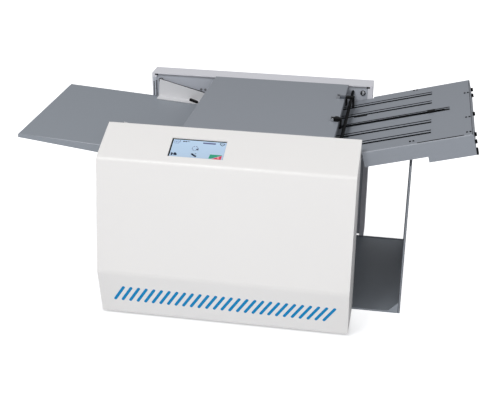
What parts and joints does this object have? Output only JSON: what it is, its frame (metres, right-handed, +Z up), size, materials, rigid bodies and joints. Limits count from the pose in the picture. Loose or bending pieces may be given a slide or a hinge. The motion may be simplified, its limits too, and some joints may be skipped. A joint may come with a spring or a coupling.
{
  "type": "paper folding machine",
  "caption": "Desktop paper folding machine: sloping infeed tray, feed and fold rollers under a hinged lid, adjustable slotted fold plate, display on a sloping panel, output tray",
  "frame": {"origin": "middle of the rectangle that the machine covers on the table, at table height", "axes": "+X from the infeed tray to the fold plate, +Y from the control panel to the rear cover, +Z up"},
  "size_m": [0.7046, 0.3888, 0.3081],
  "materials": {
    "cover_paint": "satin warm white powder coat",
    "rear_paint": "satin off-white powder coat",
    "frame_steel": "satin grey sheet steel",
    "sheet_grey": "satin bluish grey paint",
    "tray_grey": "satin bluish grey paint",
    "bright_steel": "brushed",
    "black_steel": "satin black paint",
    "black_plastic": "fine matte",
    "clear_plastic": "smooth",
    "roller_rubber": "ground rubber",
    "tyre_rubber": "soft rubber",
    "foot_rubber": "matte rubber",
    "belt_rubber": "toothed belt",
    "gear_plastic": "moulded",
    "guide_white": "satin white",
    "screen_glass": "smooth screen",
    "board_green": "coated board",
    "supply_metal": "folded sheet",
    "motor_metal": "black painted can",
    "rocker_plastic": "smooth",
    "pad_rubber": "grippy rubber"
  },
  "bodies": {
    "chassis": {"front_cover": "cover_paint", "rear_cover": "rear_paint", "front_side_frame": "frame_steel", "rear_side_frame": "frame_steel", "base_pan": "frame_steel", "feet": "foot_rubber", "tie_bars": "black_steel", "bushings": "black_plastic", "frame_screws": "bright_steel", "drive_motor": "motor_metal", "drive_belt": "belt_rubber", "feed_belt": "belt_rubber", "plate_rails": "bright_steel", "lower_plate_upper_sheet": "sheet_grey", "lower_plate_lower_sheet": "sheet_grey", "infeed_tray": "tray_grey", "separator_block": "black_plastic", "separator_pad": "pad_rubber", "paper_guides": "sheet_grey", "cover_pins": "bright_steel", "output_tray": "tray_grey", "display_bezel": "black_plastic", "display_glass": "screen_glass", "control_board": "board_green", "power_supply": "supply_metal", "power_inlet": "black_plastic"},
    "top_cover": {"top_cover": "sheet_grey", "catch_hinges": "bright_steel"},
    "catch_rear": {"catch_arm_rear": "clear_plastic", "catch_jaw_rear": "black_plastic"},
    "catch_front": {"catch_front": "black_plastic"},
    "fold_plate": {"plate_top_sheet": "sheet_grey", "plate_bottom_sheet": "sheet_grey", "plate_fasteners": "black_steel", "plate_pads": "black_plastic"},
    "fold_stop": {"fold_stop": "black_plastic"},
    "lower_stop": {"lower_fold_stop": "black_plastic"},
    "guide_rear": {"side_guide_rear": "guide_white", "guide_knob": "black_plastic"},
    "guide_front": {"side_guide_front": "guide_white"},
    "feed_roller": {"feed_shaft": "bright_steel", "feed_tyres": "tyre_rubber", "feed_pulley": "black_plastic"},
    "fold_roller_1": {"fold_roller_1": "roller_rubber", "fold_gear_1": "gear_plastic", "fold_pulley_1": "black_plastic"},
    "fold_roller_2": {"fold_roller_2": "roller_rubber", "fold_gear_2": "gear_plastic", "fold_pulley_2": "black_plastic"},
    "fold_roller_3": {"fold_roller_3": "roller_rubber", "fold_gear_3": "gear_plastic"},
    "fold_roller_4": {"fold_roller_4": "roller_rubber", "fold_gear_4": "gear_plastic"},
    "seal_lower": {"seal_roller_lower": "roller_rubber", "seal_gear_lower": "gear_plastic", "seal_pulley": "black_plastic"},
    "seal_upper": {"seal_roller_upper": "roller_rubber", "seal_gear_upper": "gear_plastic"},
    "motor_rotor": {"motor_pulley": "bright_steel"},
    "power_rocker": {"power_rocker": "rocker_plastic"}
  },
  "joints": [
    {"name": "cover_hinge", "type": "hinge", "parent": "chassis", "child": "top_cover", "pos_m": [-0.08087, 0.02872, 0.271], "axis": [0, -1, 0], "range_deg": [0, 90]},
    {"name": "catch_rear_hinge", "type": "hinge", "parent": "top_cover", "child": "catch_rear", "pos_m": [0.13163, 0.08222, 0.29], "axis": [0, -1, 0], "range_deg": [0, 60]},
    {"name": "catch_front_hinge", "type": "hinge", "parent": "top_cover", "child": "catch_front", "pos_m": [0.13163, -0.02478, 0.29], "axis": [0, -1, 0], "range_deg": [0, 60]},
    {"name": "fold_plate_slide", "type": "slide", "parent": "chassis", "child": "fold_plate", "axis": [0.9677, 0, 0.2521], "range_m": [0, 0.2]},
    {"name": "fold_stop_slide", "type": "slide", "parent": "fold_plate", "child": "fold_stop", "axis": [0.9677, 0, 0.2521], "range_m": [-0.12, 0.012]},
    {"name": "lower_stop_slide", "type": "slide", "parent": "chassis", "child": "lower_stop", "axis": [0.7071, 0, 0.7071], "range_m": [-0.025, 0.06]},
    {"name": "guide_rear_slide", "type": "slide", "parent": "chassis", "child": "guide_rear", "axis": [0, -1, 0], "range_m": [0, 0.05]},
    {"name": "guide_front_slide", "type": "slide", "parent": "chassis", "child": "guide_front", "axis": [0, 1, 0], "range_m": [0, 0.05]},
    {"name": "fold_2_spin", "type": "hinge", "parent": "chassis", "child": "fold_roller_2", "pos_m": [0.07393, 0.02872, 0.2163], "axis": [0, 1, 0], "continuous": true},
    {"name": "feed_spin", "type": "hinge", "parent": "chassis", "child": "feed_roller", "pos_m": [-0.07187, 0.02872, 0.2552], "axis": [0, 1, 0], "continuous": true},
    {"name": "fold_1_spin", "type": "hinge", "parent": "chassis", "child": "fold_roller_1", "pos_m": [0.06629, 0.02872, 0.24562], "axis": [0, 1, 0], "continuous": true},
    {"name": "fold_3_spin", "type": "hinge", "parent": "chassis", "child": "fold_roller_3", "pos_m": [0.10394, 0.02872, 0.21208], "axis": [0, 1, 0], "continuous": true},
    {"name": "fold_4_spin", "type": "hinge", "parent": "chassis", "child": "fold_roller_4", "pos_m": [0.09972, 0.02872, 0.18208], "axis": [0, 1, 0], "continuous": true},
    {"name": "seal_lower_spin", "type": "hinge", "parent": "chassis", "child": "seal_lower", "pos_m": [0.14213, 0.02872, 0.177], "axis": [0, 1, 0], "continuous": true},
    {"name": "seal_upper_spin", "type": "hinge", "parent": "chassis", "child": "seal_upper", "pos_m": [0.14213, 0.02872, 0.2073], "axis": [0, 1, 0], "continuous": true},
    {"name": "motor_spin", "type": "hinge", "parent": "chassis", "child": "motor_rotor", "pos_m": [0.04313, 0.02872, 0.06], "axis": [0, 1, 0], "continuous": true},
    {"name": "rocker_hinge", "type": "hinge", "parent": "chassis", "child": "power_rocker", "pos_m": [-0.11787, 0.18522, 0.046], "axis": [1, 0, 0], "range_deg": [-8, 8]}
  ],
  "couplings": [
    {"joint": "feed_spin", "follows": "fold_2_spin", "ratio": -1},
    {"joint": "fold_1_spin", "follows": "fold_2_spin", "ratio": -1},
    {"joint": "fold_3_spin", "follows": "fold_2_spin", "ratio": -1},
    {"joint": "fold_4_spin", "follows": "fold_2_spin", "ratio": 1},
    {"joint": "seal_lower_spin", "follows": "fold_2_spin", "ratio": 1},
    {"joint": "seal_upper_spin", "follows": "fold_2_spin", "ratio": -1},
    {"joint": "motor_spin", "follows": "fold_2_spin", "ratio": 1.396}
  ]
}
